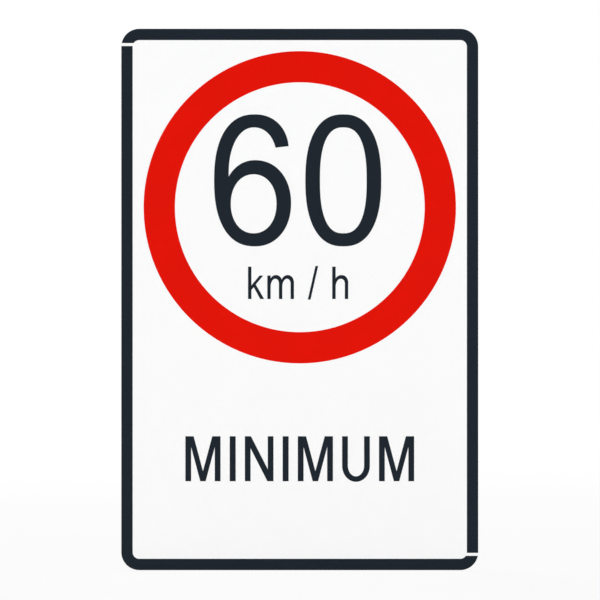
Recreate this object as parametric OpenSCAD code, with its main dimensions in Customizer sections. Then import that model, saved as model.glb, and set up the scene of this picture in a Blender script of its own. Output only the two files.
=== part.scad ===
// Minimum speed sign: a flat aluminium plate faced with white reflective sheeting,
// on which a black border, a red ring and black digits are laid as cut film.
// Two lipped rails are riveted across the back, for clamps that grip a post.
//
// The front faces -Y, up is +Z, and the origin is the middle of the whole sign.
// All lengths are in millimetres.

/* [Plate] */
// Width of the plate
plate_w = 600; // [575:1:700]
// Height of the plate
plate_h = 910; // [820:1:1050]
// Thickness of the plate
plate_t = 3; // [2.5:0.1:4]
// Radius of the plate's corners, and of the border's outer corners
plate_corner_r = 30; // [27:0.5:45]

/* [Sheeting and film] */
// Thickness of the white reflective sheeting
sheeting_t = 0.4; // [0.3:0.05:0.8]
// Thickness of the coloured film laid on the sheeting
film_t = 0.25; // [0.2:0.05:0.5]

/* [Border] */
// Width of the black border
border_w = 19; // [12:0.5:26]
// Radius of the border's inner corners
border_inner_r = 11; // [4:0.5:20]
// Distance from the plate's short edge to the near side of each break in the border
border_break_edge = 24; // [15:0.5:40]
// Height of each break in the border
border_break_w = 5; // [2:0.5:12]

/* [Ring] */
// Gap between the border and the ring, at the sides and at the top
ring_gap = 18.5; // [6:0.5:30]
// Width of the red ring's band
ring_band_w = 52.5; // [35:0.5:60]

/* [Digits] */
// Height of both digits
digit_h = 222; // [200:1:240]
// Drop from the ring's inner edge, at its top, to the digits' top
digit_drop = 53.8; // [48:0.1:90]
// Distance of the six's upright axis to the left of the plate's centreline
six_axis_left = 75; // [70:0.5:80]
// Distance of the zero's upright axis to the right of the plate's centreline
zero_axis_right = 73.2; // [70:0.1:78]
// Thickness of the digits' strokes at their sides
side_stroke = 24.5; // [16:0.5:28]
// Thickness of the digits' strokes at their top and bottom
end_stroke = 22; // [14:0.5:28]

/* [Zero] */
// Width of the zero
zero_w = 127.6; // [110:0.1:132]
// Squareness of the zero's outer edge, where 2 is a plain ellipse
zero_outer_n = 2.39; // [2:0.01:3]
// Squareness of the zero's inner edge
zero_inner_n = 2.51; // [2:0.01:3]

/* [Six] */
// Reach of the six's back to the left of its axis
six_back_reach = 69; // [64:0.5:76]
// Squareness of the six's back
six_back_n = 2.36; // [2.2:0.01:3]
// Squareness of the six's hook, bowl and eye
six_round_n = 2.12; // [2:0.01:2.6]
// Reach of the six's bowl to the right of its axis
six_bowl_reach = 60.4; // [54:0.1:64]
// Reach of the six's bowl to the left of its axis, where it runs into the back
six_bowl_root = 55; // [52:0.5:60]
// Height of the six's bowl
six_bowl_h = 145; // [130:1:155]
// Thickness of the bar over the six's eye
six_bar_stroke = 23.8; // [16:0.1:30]
// Reach of the six's eye to the left of the axis
six_eye_left = 41; // [36:0.5:44]
// Reach of the six's hook to the right of its axis
six_hook_reach = 56.6; // [50:0.5:60]
// Height of the round part of the six's hook
six_hook_h = 61; // [58:0.5:70]
// Height of the round part inside the six's hook
six_hook_inner_h = 53; // [45:0.5:60]
// Thickness of the six's hook near its tip
six_hook_stroke = 20.2; // [15:0.5:24]
// Drop from the six's top to the outer corner of the hook's tip
six_tip_outer_drop = 53.5; // [48:0.5:57]
// Drop from the six's top to the inner corner of the hook's tip
six_tip_inner_drop = 56; // [50:0.5:60]
// Height from the white throat's widest place to its top
six_throat_h = 77; // [65:1:90]
// Distance of the throat's own axis to the left of the six's axis
six_throat_left = 2; // [0:0.5:6]

/* [Rails] */
// Distance from the plate's short edges to the middle of each rail
rail_edge = 175; // [120:1:260]
// Distance from the plate's long edges to the ends of the rails
rail_inset = 30; // [15:1:70]
// Width of the rail's channel
rail_channel_w = 36; // [32:1:40]
// Width of the rail's foot on each side of the channel
rail_flange_w = 14; // [13:0.5:20]
// Thickness of the rail's foot
rail_foot_t = 2; // [1.6:0.1:3]
// Depth of the rail, from the plate's back to its crown
rail_depth = 19; // [17:0.5:25]
// Thickness of the channel's side walls
rail_wall = 2.2; // [1.6:0.1:3]
// Thickness of the lips at the crown
rail_lip_t = 2.5; // [1.8:0.1:3.5]
// Width of the slot between the lips
rail_slot_w = 14; // [10:0.5:16]
// Length by which each lip is turned back into the channel
rail_return_h = 2.8; // [1.5:0.1:4]
// Thickness of the lips' turned edge
rail_return_t = 1.8; // [1.2:0.1:2.4]
// Radius of the rail's outer edges
rail_edge_r = 0.8; // [0.3:0.1:1.2]
// Radius of the fillets in the rail's inner corners
rail_fillet_r = 1.5; // [0.5:0.1:2]
// Width of the drill groove along the middle of each side of the foot
rail_groove_w = 1.2; // [0.6:0.1:2]
// Depth of the drill groove
rail_groove_h = 0.4; // [0.2:0.05:0.6]

/* [Rivets] */
// Rivets along each side of a rail's foot
rivet_count = 5; // [3:1:9]
// Distance from a rail's end to its first rivet
rivet_end = 20; // [12:1:40]
// Diameter of a rivet's shank
rivet_d = 4.8; // [4:0.1:5]
// Diameter of a rivet's countersunk head
rivet_head_d = 9.5; // [8:0.1:10.5]
// Full angle of a rivet's countersunk head
rivet_head_angle = 120; // [100:1:120]
// Diameter of a rivet's blind end, set against the foot
rivet_tail_d = 7.6; // [6.5:0.1:8.5]
// Height of a rivet's blind end
rivet_tail_h = 2.6; // [1.5:0.1:3.5]
// Radius of the blind end's rim
rivet_tail_edge_r = 1.2; // [0.3:0.1:1.4]
// Gap all round a rivet in its holes
rivet_gap = 0.05; // [0.02:0.01:0.2]

/* [End caps] */
// Thickness of the end caps over the ends of the rails
cap_t = 2.5; // [1.5:0.1:4]
// Length of the end caps' plugs inside the rails
cap_plug_l = 12; // [8:0.5:18]
// Wall of the end caps' plugs
cap_plug_wall = 1.8; // [1.2:0.1:2.5]
// Gap all round an end cap's plug
cap_gap = 0.2; // [0.1:0.05:0.5]
// Gap between an end cap and the plate's back
cap_plate_gap = 0.4; // [0.2:0.1:1]
// Radius of the end caps' outer corners
cap_corner_r = 2; // [1:0.1:4]
// Radius of the end caps' rounded rim
cap_rim_r = 0.8; // [0.2:0.1:1.2]

/* [Hidden] */

$fn = 96;
ring_fn = 180;
rivet_fn = 32;
cap_fn = 48;
rim_fn = 32;
quarter_steps = 20;   // straight steps in each quarter of a digit's outline
over = 1;             // how far a cutting shape runs past what it cuts

// depths, from the front of the films to the crowns of the rails
total_depth = film_t + sheeting_t + plate_t + rail_depth;
film_back_y = film_t - total_depth / 2;
sheeting_back_y = film_back_y + sheeting_t;
plate_back_y = sheeting_back_y + plate_t;

// the ring, inside the border, and heights on the face and at the back
ring_outer_r = plate_w / 2 - border_w - ring_gap;
ring_inner_r = ring_outer_r - ring_band_w;
ring_z = plate_h / 2 - border_w - ring_gap - ring_outer_r;
digit_z = ring_z + ring_inner_r - digit_drop - digit_h / 2;
rail_z = plate_h / 2 - rail_edge;

// lengths and places along and across the rails
rail_len = plate_w - 2 * rail_inset;
rivet_pitch = (rail_len - 2 * rivet_end) / (rivet_count - 1);
rivet_z = (rail_channel_w + rail_flange_w) / 2;
rivet_grip = plate_t + rail_foot_t;
rivet_head_h = (rivet_head_d - rivet_d) / 2 / tan(rivet_head_angle / 2);

plate_color = "#B9BCC0";
white_color = "#FFFFFF";
black_color = "#212830";
red_color = "#E01700";
rail_color = "#C6C9CC";
rivet_color = "#A9ACB0";
cap_color = "#26282A";

// A point on the edge of an oval with the half widths in reach. A squareness n
// of 2 gives an ellipse, and more gives fuller corners.
function oval_point(centre, reach, n, angle) =
    [centre.x + reach.x * sign(cos(angle)) * pow(abs(cos(angle)), 2 / n),
     centre.y + reach.y * sign(sin(angle)) * pow(abs(sin(angle)), 2 / n)];

// The points of an oval's edge between two angles. The last is always there,
// and the first is left out where skip is 1, because the arc before ends on it.
function oval_arc(centre, reach, n, from, to, skip = 1) =
    let (steps = max(2, round(quarter_steps * abs(to - from) / 90)))
    [for (i = [skip:steps]) oval_point(centre, reach, n, from + (to - from) * i / steps)];

// The angle at which an oval's edge stands at a given height over its centre.
function oval_angle(height, half_height, n) = asin(pow(height / half_height, n / 2));

module rounded_rect(w, h, r) {
    square([w, h - 2 * r], center = true);
    square([w - 2 * r, h], center = true);
    for (side = [-1, 1], end = [-1, 1])
        translate([side * (w / 2 - r), end * (h / 2 - r)]) circle(r);
}

// What fills an inner corner at the origin to radius r, or rounds an outer one
// when it is cut away.
module corner_web(r) {
    difference() {
        square(r);
        translate([r, r]) circle(r);
    }
}

// Lays an outline, drawn as X and Z, as a layer of thickness t whose back is at y.
module layer(y, t) {
    translate([0, y, 0]) rotate([90, 0, 0]) linear_extrude(t) children();
}

// Turns its children so that their X is depth behind the plate, their Y is height
// and their Z runs along X from start.
module lay_along_x(start) {
    translate([start, plate_back_y, 0]) rotate([90, 0, 90]) children();
}

// Draws a section, given as depth behind the plate and height, along X from start.
module bar_along_x(start, length) {
    lay_along_x(start) linear_extrude(length) children();
}

// Half of a section that stands on its middle line: half_w wide, h high, and with
// a rounded rim on top.
module rim_section(half_w, h, rim_r) {
    square([half_w - rim_r, h]);
    square([half_w, h - rim_r]);
    translate([half_w - rim_r, h - rim_r]) circle(rim_r, $fn = rim_fn);
}

module plate_outline() {
    rounded_rect(plate_w, plate_h, plate_corner_r);
}

// Puts its children at each rivet of the rail at height z, with the local origin
// on the plate's front and the local Z axis running back through the plate.
module at_rivets(z) {
    for (i = [0:rivet_count - 1], side = [-1, 1])
        translate([rivet_end - rail_len / 2 + i * rivet_pitch, sheeting_back_y, z + side * rivet_z])
            rotate([-90, 0, 0]) children();
}

// The hole for one rivet, through the plate and the rail's foot.
module rivet_hole() {
    head_r = rivet_head_d / 2 + rivet_gap;
    hole_r = rivet_d / 2 + rivet_gap;
    cylinder(r = hole_r, h = rivet_grip + over, $fn = rivet_fn);
    cylinder(r1 = head_r, r2 = hole_r, h = rivet_head_h, $fn = rivet_fn);
    translate([0, 0, -over]) cylinder(r = head_r, h = over, $fn = rivet_fn);
}

module sign_plate() {
    color(plate_color) difference() {
        layer(plate_back_y, plate_t) plate_outline();
        for (end = [-1, 1]) at_rivets(end * rail_z) rivet_hole();
    }
}

module white_sheeting() {
    color(white_color) layer(sheeting_back_y, sheeting_t) plate_outline();
}

module border_outline() {
    difference() {
        plate_outline();
        rounded_rect(plate_w - 2 * border_w, plate_h - 2 * border_w, border_inner_r);
    }
}

// The part of the face that the upper strip covers: the top, and the right side
// down to the break at the bottom right corner. Turned half round, it is the
// part that the lower strip covers.
module upper_strip_area() {
    near = plate_h / 2 - border_break_edge;
    far = near - border_break_w;
    translate([-plate_w / 2 - over, near]) square([plate_w + 2 * over, border_break_edge + over]);
    translate([0, -far]) square([plate_w / 2 + over, far + plate_h / 2 + over]);
}

module border_strip(turn) {
    color(black_color) layer(film_back_y, film_t) intersection() {
        border_outline();
        rotate(turn) upper_strip_area();
    }
}

module red_ring() {
    color(red_color) layer(film_back_y, film_t) translate([0, ring_z]) difference() {
        circle(ring_outer_r, $fn = ring_fn);
        circle(ring_inner_r, $fn = ring_fn);
    }
}

module digit_zero() {
    outer = [zero_w / 2, digit_h / 2];
    inner = outer - [side_stroke, end_stroke];
    color(black_color) layer(film_back_y, film_t)
        translate([zero_axis_right, digit_z]) difference() {
            polygon(oval_arc([0, 0], outer, zero_outer_n, 0, 360));
            polygon(oval_arc([0, 0], inner, zero_inner_n, 0, 360));
        }
}

// The six's long stroke, from the hook's tip over the top and down the back.
// It ends inside the bowl.
module six_stroke() {
    top = digit_h / 2;
    inner_top = top - end_stroke;
    n = six_round_n;
    back = [six_back_reach, top];
    hook = [six_hook_reach, six_hook_h];
    hook_inner = [six_hook_reach - six_hook_stroke + six_throat_left, six_hook_inner_h];
    throat = [six_back_reach - side_stroke - six_throat_left, six_throat_h];
    hook_centre = [0, top - hook.y];
    hook_inner_centre = [-six_throat_left, inner_top - hook_inner.y];
    throat_centre = [-six_throat_left, inner_top - throat.y];
    tip_outer = oval_angle(hook.y - six_tip_outer_drop, hook.y, n);
    tip_inner = oval_angle(hook_inner.y + end_stroke - six_tip_inner_drop, hook_inner.y, n);
    polygon(concat(
        oval_arc(hook_centre, hook, n, tip_outer, 90, 0),
        oval_arc([0, 0], back, six_back_n, 90, 270),
        oval_arc(throat_centre, throat, n, 270, 90, 0),
        oval_arc(hook_inner_centre, hook_inner, n, 90, tip_inner)));
}

module six_bowl() {
    centre = [0, (six_bowl_h - digit_h) / 2];
    polygon(concat(
        oval_arc(centre, [six_bowl_reach, six_bowl_h / 2], six_round_n, -90, 90),
        oval_arc(centre, [six_bowl_root, six_bowl_h / 2], six_round_n, 90, 270)));
}

// The white eye inside the six's bowl.
module six_eye() {
    eye_right = six_bowl_reach - side_stroke;
    half = [(six_eye_left + eye_right) / 2, (six_bowl_h - end_stroke - six_bar_stroke) / 2];
    centre = [eye_right - half.x, end_stroke - digit_h / 2 + half.y];
    polygon(oval_arc(centre, half, six_round_n, 0, 360));
}

module digit_six() {
    color(black_color) layer(film_back_y, film_t)
        translate([-six_axis_left, digit_z]) difference() {
            union() {
                six_stroke();
                six_bowl();
            }
            six_eye();
        }
}

// Section of a rail: the foot lies on the plate, at depth 0, and the slot
// between the lips opens at the crown.
module rail_section() {
    half = rail_channel_w / 2;
    foot_half = half + rail_flange_w;
    slot_half = rail_slot_w / 2;
    inside = [rail_depth - rail_foot_t - rail_lip_t, rail_channel_w - 2 * rail_wall];
    difference() {
        union() {
            translate([0, -foot_half]) square([rail_foot_t, 2 * foot_half]);
            translate([0, -half]) square([rail_depth, rail_channel_w]);
            for (side = [0, 1]) mirror([0, side])
                translate([rail_foot_t, half]) corner_web(rail_fillet_r);
        }
        translate([rail_foot_t + inside.x / 2, 0]) rounded_rect(inside.x, inside.y, rail_fillet_r);
        translate([rail_foot_t + over, -slot_half]) square([rail_depth, rail_slot_w]);
        for (side = [0, 1]) mirror([0, side]) {
            translate([rail_foot_t, foot_half]) rotate(180) corner_web(rail_edge_r);
            translate([rail_depth, half]) rotate(180) corner_web(rail_edge_r);
            translate([rail_depth, slot_half]) rotate(90) corner_web(rail_edge_r);
            translate([rail_foot_t, rivet_z]) drill_groove();
        }
    }
    for (side = [0, 1]) mirror([0, side])
        translate([rail_depth - rail_lip_t - rail_return_h, slot_half]) rail_return();
}

// The V groove that marks the line of the rivets, open above the foot.
module drill_groove() {
    half = rail_groove_w / 2;
    polygon([[-rail_groove_h, 0], [0, half], [over, half], [over, -half], [0, -half]]);
}

// The turned edge of one lip, with a round end. It runs half way into the lip.
module rail_return() {
    end_r = rail_return_t / 2;
    translate([end_r, 0]) square([rail_return_h + rail_lip_t / 2 - end_r, rail_return_t]);
    translate([end_r, end_r]) circle(end_r);
}

module rail(z) {
    color(rail_color) difference() {
        translate([0, 0, z]) bar_along_x(-rail_len / 2, rail_len) rail_section();
        at_rivets(z) rivet_hole();
    }
}

// Half section of a set rivet, as radius and length from the plate's front.
module rivet_half_section() {
    rim_r = min(rivet_tail_edge_r, rivet_tail_h / 2);
    polygon([[0, 0], [rivet_head_d / 2, 0], [rivet_d / 2, rivet_head_h],
             [rivet_d / 2, rivet_grip], [0, rivet_grip]]);
    translate([0, rivet_grip]) rim_section(rivet_tail_d / 2, rivet_tail_h, rim_r);
}

module rail_rivets(z) {
    color(rivet_color) at_rivets(z) rotate_extrude($fn = rivet_fn) rivet_half_section();
}

// Section of an end cap's plug, which slides into the channel under the lips,
// or of the hollow in it where inset is the plug's wall.
module plug_section(inset) {
    low = rail_foot_t + cap_gap + inset;
    high = rail_depth - rail_lip_t - rail_return_h - cap_gap - inset;
    width = rail_channel_w - 2 * (rail_wall + cap_gap + inset);
    translate([(low + high) / 2, 0])
        rounded_rect(high - low, width, min(rail_fillet_r, (high - low) / 4));
}

// A straight bar of a cap's cover, with a rounded rim along both sides.
module cover_bar(w, length, rim_r) {
    rotate([90, 0, 0]) linear_extrude(length, center = true)
        for (side = [0, 1]) mirror([side, 0]) rim_section(w / 2, cap_t, rim_r);
}

// The cover of an end cap, lying on its inner side: a plate with round corners
// and a rounded rim.
module cap_cover(w, h) {
    r = cap_corner_r;
    rim_r = min(cap_rim_r, r / 2, cap_t / 2);
    cover_bar(w, h - 2 * r, rim_r);
    rotate(90) cover_bar(h, w - 2 * r, rim_r);
    for (side = [-1, 1], end = [-1, 1])
        translate([side * (w / 2 - r), end * (h / 2 - r), 0])
            rotate_extrude($fn = cap_fn) rim_section(r, cap_t, rim_r);
}

// An end cap on the rail at height z. It is drawn at the rail's right end, and
// mirrored to the left one where side is -1.
module rail_cap(z, side) {
    cover_d = rail_depth - cap_plate_gap;
    end_x = rail_len / 2;
    color(cap_color) mirror([side < 0 ? 1 : 0, 0, 0]) translate([0, 0, z]) {
        lay_along_x(end_x) translate([cap_plate_gap + cover_d / 2, 0, 0])
            cap_cover(cover_d, rail_channel_w);
        difference() {
            bar_along_x(end_x - cap_plug_l, cap_plug_l + cap_t / 2) plug_section(0);
            bar_along_x(end_x - cap_plug_l - over, cap_plug_l + over) plug_section(cap_plug_wall);
        }
    }
}

module border_strip_upper() border_strip(0);
module border_strip_lower() border_strip(180);
module upper_rail() rail(rail_z);
module lower_rail() rail(-rail_z);
module upper_rail_rivets() rail_rivets(rail_z);
module lower_rail_rivets() rail_rivets(-rail_z);
module upper_rail_cap_left() rail_cap(rail_z, -1);
module upper_rail_cap_right() rail_cap(rail_z, 1);
module lower_rail_cap_left() rail_cap(-rail_z, -1);
module lower_rail_cap_right() rail_cap(-rail_z, 1);

sign_plate();
white_sheeting();
border_strip_upper();
border_strip_lower();
red_ring();
digit_six();
digit_zero();
upper_rail();
lower_rail();
upper_rail_rivets();
lower_rail_rivets();
upper_rail_cap_left();
upper_rail_cap_right();
lower_rail_cap_left();
lower_rail_cap_right();
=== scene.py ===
"""Looks of an upright minimum speed sign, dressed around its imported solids.

The face is white reflective sheeting that carries cut film: a black border in two strips,
a red ring, two digits, a unit and a word. Two extruded rails are riveted across the back.
Lengths are in metres, the front of the sign faces -Y, and up is +Z.
"""

import logging
import math
from collections.abc import Sequence
from dataclasses import dataclass, field
from enum import Enum

import bpy
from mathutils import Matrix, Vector


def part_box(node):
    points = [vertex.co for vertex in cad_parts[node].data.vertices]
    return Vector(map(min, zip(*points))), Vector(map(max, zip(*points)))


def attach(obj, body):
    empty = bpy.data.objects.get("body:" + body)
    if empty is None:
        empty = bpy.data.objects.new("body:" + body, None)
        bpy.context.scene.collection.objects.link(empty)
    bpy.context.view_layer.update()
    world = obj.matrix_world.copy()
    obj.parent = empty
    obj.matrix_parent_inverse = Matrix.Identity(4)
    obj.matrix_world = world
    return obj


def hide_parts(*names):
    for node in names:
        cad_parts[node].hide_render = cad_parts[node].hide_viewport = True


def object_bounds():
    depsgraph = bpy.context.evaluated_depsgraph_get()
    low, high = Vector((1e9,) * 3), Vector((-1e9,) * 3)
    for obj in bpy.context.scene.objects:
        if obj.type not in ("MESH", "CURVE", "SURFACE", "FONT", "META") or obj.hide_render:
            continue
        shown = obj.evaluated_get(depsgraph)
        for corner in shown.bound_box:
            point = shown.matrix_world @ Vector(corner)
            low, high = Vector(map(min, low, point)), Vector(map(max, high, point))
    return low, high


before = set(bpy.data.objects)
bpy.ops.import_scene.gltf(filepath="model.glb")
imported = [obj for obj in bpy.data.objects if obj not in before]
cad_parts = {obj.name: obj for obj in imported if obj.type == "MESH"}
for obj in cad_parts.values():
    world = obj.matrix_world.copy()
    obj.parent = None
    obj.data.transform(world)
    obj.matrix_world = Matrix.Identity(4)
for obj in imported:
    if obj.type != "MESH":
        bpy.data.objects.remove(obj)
CAD_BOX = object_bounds()

LOG = logging.getLogger("speed_sign")
BODY = "root"
MM = 0.001
UPRIGHT = (math.radians(90), 0.0, 0.0)

Point = tuple[float, float]
Outline = list[Point]
Place = tuple[float, float, float]
Colour = tuple[float, float, float]
Socket = bpy.types.NodeSocket
Sockets = bpy.types.bpy_prop_collection
Values = dict[int | str, object]
Piece = bpy.types.Object


class SocketKind(Enum):
    """The kinds of inputs and outputs that the node groups have."""

    NUMBER = "NodeSocketFloat"
    COUNT = "NodeSocketInt"
    VECTOR = "NodeSocketVector"
    SHAPE = "NodeSocketGeometry"
    MATERIAL = "NodeSocketMaterial"


def as_rgba(colour: Colour) -> tuple[float, float, float, float]:
    """Gives a colour with full alpha, as Blender's sockets take it."""
    return (*colour, 1.0)


class NodeBench:
    """Adds nodes to one tree and joins them."""

    noise_low = 0.3
    noise_high = 0.7

    def __init__(self, tree: bpy.types.NodeTree) -> None:
        """Keeps the tree that the nodes go into."""
        self.tree = tree

    def declare(self, direction: str, kinds: dict[str, SocketKind]) -> None:
        """Gives a node group its named inputs or outputs."""
        for name, kind in kinds.items():
            self.tree.interface.new_socket(name, in_out=direction, socket_type=kind.value)

    def feed(self, target: Socket, value: object) -> None:
        """Joins a socket to an input, or sets the input to a plain value.

        Args:
            target: the input.
            value: the socket or the plain value that it gets.
        """
        if isinstance(value, Socket):
            self.tree.links.new(value, target)
        else:
            target.default_value = value

    def add(self, kind: str, inputs: Values | None = None, **settings: object) -> bpy.types.Node:
        """Adds one node.

        Args:
            kind: Blender's type name of the node.
            inputs: what each input gets, by the input's name or number.
            settings: attributes of the node, set before its inputs.

        Returns:
            The new node.
        """
        node = self.tree.nodes.new(kind)
        for name, value in settings.items():
            setattr(node, name, value)
        for key, value in (inputs or {}).items():
            self.feed(node.inputs[key], value)
        return node

    def output_of(self, kind: str, inputs: Values | None = None, **settings: object) -> Socket:
        """Adds one node and gives its first output."""
        return self.add(kind, inputs, **settings).outputs[0]

    def math(self, operation: str, *values: object) -> Socket:
        """Gives the result of one Math node on sockets or numbers."""
        return self.output_of("ShaderNodeMath", dict(enumerate(values)), operation=operation)

    def remap(self, value: object, low: float, high: float, to_low: float, to_high: float) -> Socket:
        """Carries a value from one range to another, smoothly and kept within it."""
        inputs = {"Value": value, "From Min": low, "From Max": high, "To Min": to_low, "To Max": to_high}
        return self.add("ShaderNodeMapRange", inputs, interpolation_type="SMOOTHSTEP").outputs["Result"]

    def blend(self, share: object, first: object, second: object) -> Socket:
        """Mixes two colours, given as sockets or as plain colours.

        Args:
            share: how much of the second colour shows, from 0 to 1.
            first: the colour at 0.
            second: the colour at 1.

        Returns:
            The mixed colour.
        """
        node = self.add("ShaderNodeMix", {0: share}, data_type="RGBA")
        for key, colour in ((6, first), (7, second)):
            self.feed(node.inputs[key], as_rgba(colour) if isinstance(colour, tuple) else colour)
        return node.outputs[2]

    def noise(self, vector: object, scale: object, detail: float) -> Socket:
        """Gives the value of a noise texture with the given features per metre."""
        inputs = {"Vector": vector, "Scale": scale, "Detail": detail}
        return self.output_of("ShaderNodeTexNoise", inputs)

    def full_noise(self, vector: object, scale: object, detail: float, least: float = 0.0) -> Socket:
        """Stretches a noise, which mostly keeps to the middle of its range, up to 1."""
        value = self.noise(vector, scale, detail)
        return self.remap(value, self.noise_low, self.noise_high, least, 1.0)

    def stretched(self, vector: object, length: object, width: object) -> Socket:
        """Measures a point in lengths along X and in widths across, for a stretched pattern."""
        size = self.output_of("ShaderNodeCombineXYZ", {0: length, 1: width, 2: width})
        return self.output_of("ShaderNodeVectorMath", {0: vector, 1: size}, operation="DIVIDE")

    def bump(self, height: object, depth: float, under: object | None = None) -> Socket:
        """Turns a height from 0 to 1 into a normal.

        Args:
            height: the height's socket.
            depth: the relief that a height of 1 stands for, in metres.
            under: the normal of a relief below this one.

        Returns:
            The normal.
        """
        inputs = {"Height": height, "Distance": depth}
        if under is not None:
            inputs["Normal"] = under
        return self.add("ShaderNodeBump", inputs).outputs["Normal"]

    def effect(self, group: type["EffectGroup"], inputs: Values) -> Sockets:
        """Places a shared effect in this tree, with its own values.

        Args:
            group: the effect.
            inputs: what each of its inputs gets, by the input's name.

        Returns:
            The effect's outputs, by their names.
        """
        return self.add("ShaderNodeGroup", inputs, node_tree=group.tree()).outputs


class EffectGroup:
    """A shader effect that several finishes share. Its node group is built once."""

    title = ""
    sockets_in: dict[str, SocketKind] = {}
    sockets_out: dict[str, SocketKind] = {}

    @classmethod
    def tree(cls) -> bpy.types.NodeTree:
        """Builds the node group at its first use, and gives the same one after that.

        Returns:
            The node group.
        """
        found = bpy.data.node_groups.get(cls.title)
        if found is not None:
            return found
        bench = NodeBench(bpy.data.node_groups.new(cls.title, "ShaderNodeTree"))
        bench.declare("INPUT", cls.sockets_in)
        bench.declare("OUTPUT", cls.sockets_out)
        given = bench.add("NodeGroupInput").outputs
        bench.add("NodeGroupOutput", cls.wire(bench, given))
        return bench.tree

    @classmethod
    def wire(cls, bench: NodeBench, given: Sockets) -> dict[str, object]:
        """Adds the effect's nodes and gives what each output gets."""
        raise NotImplementedError


class PrismLattice(EffectGroup):
    """The diamond cells of prismatic sheeting and the thin seams that part them."""

    title = "prism_lattice"
    sockets_in = {"Vector": SocketKind.VECTOR, "Pitch": SocketKind.NUMBER, "Seam": SocketKind.NUMBER}
    sockets_out = {"Seams": SocketKind.NUMBER, "Cells": SocketKind.NUMBER}
    seam_angle = math.radians(60)

    @classmethod
    def wire(cls, bench: NodeBench, given: Sockets) -> dict[str, object]:
        """Draws two families of slanting seams, and a tone of its own for each cell between them.

        Args:
            bench: the group's own tree.
            given: the group's inputs: the point, the pitch and the seam's share of the pitch.

        Returns:
            Seams, which is 1 on a seam, and Cells, from 0 to 1 by cell.
        """
        place = bench.add("ShaderNodeSeparateXYZ", {0: given["Vector"]}).outputs
        across = bench.math("MULTIPLY", place["X"], math.sin(cls.seam_angle))
        along = bench.math("MULTIPLY", place["Z"], math.cos(cls.seam_angle))
        seams, steps = [], []
        for operation in ("ADD", "SUBTRACT"):
            turned = bench.math("DIVIDE", bench.math(operation, across, along), given["Pitch"])
            off_middle = bench.math("ABSOLUTE", bench.math("SUBTRACT", bench.math("FRACT", turned), 0.5))
            from_seam = bench.math("DIVIDE", bench.math("SUBTRACT", 0.5, off_middle), given["Seam"])
            seams.append(bench.remap(from_seam, 0.0, 1.0, 1.0, 0.0))
            steps.append(bench.math("FLOOR", turned))
        cell = bench.output_of("ShaderNodeCombineXYZ", {0: steps[0], 1: steps[1]})
        tone = bench.add("ShaderNodeTexWhiteNoise", {"Vector": cell}).outputs["Value"]
        return {"Seams": bench.math("MAXIMUM", *seams), "Cells": tone}


class DrawnGrain(EffectGroup):
    """Fine straight streaks along X, as rolling and drawing leave in metal."""

    title = "drawn_grain"
    sockets_in = {"Vector": SocketKind.VECTOR, "Length": SocketKind.NUMBER, "Width": SocketKind.NUMBER}
    sockets_out = {"Streaks": SocketKind.NUMBER, "Bands": SocketKind.NUMBER}
    band_widths = 14.0

    @classmethod
    def wire(cls, bench: NodeBench, given: Sockets) -> dict[str, object]:
        """Stretches one noise into streaks, and a wider one into bands.

        Args:
            bench: the group's own tree.
            given: the group's inputs: the point, and a streak's length and width in metres.

        Returns:
            Streaks and Bands, both from 0 to 1.
        """
        wide = bench.math("MULTIPLY", given["Width"], cls.band_widths)
        found = {}
        for name, width in (("Streaks", given["Width"]), ("Bands", wide)):
            scaled = bench.stretched(given["Vector"], given["Length"], width)
            found[name] = bench.full_noise(scaled, scale=1.0, detail=3.0)
        return found


class SkinTexture(EffectGroup):
    """The slight unevenness of a film's or a moulding's skin."""

    title = "skin_texture"
    sockets_in = {"Vector": SocketKind.VECTOR, "Size": SocketKind.NUMBER}
    sockets_out = {"Height": SocketKind.NUMBER, "Mottle": SocketKind.NUMBER}
    mottle_sizes = 60.0

    @classmethod
    def wire(cls, bench: NodeBench, given: Sockets) -> dict[str, object]:
        """Gives a fine height and a broad mottle.

        Args:
            bench: the group's own tree.
            given: the group's inputs: the point, and the size of the fine bumps in metres.

        Returns:
            Height and Mottle, both from 0 to 1.
        """
        fine = bench.math("DIVIDE", 1.0, given["Size"])
        broad = bench.math("DIVIDE", fine, cls.mottle_sizes)
        return {
            "Height": bench.noise(given["Vector"], fine, detail=2.0),
            "Mottle": bench.full_noise(given["Vector"], broad, detail=3.0),
        }


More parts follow.
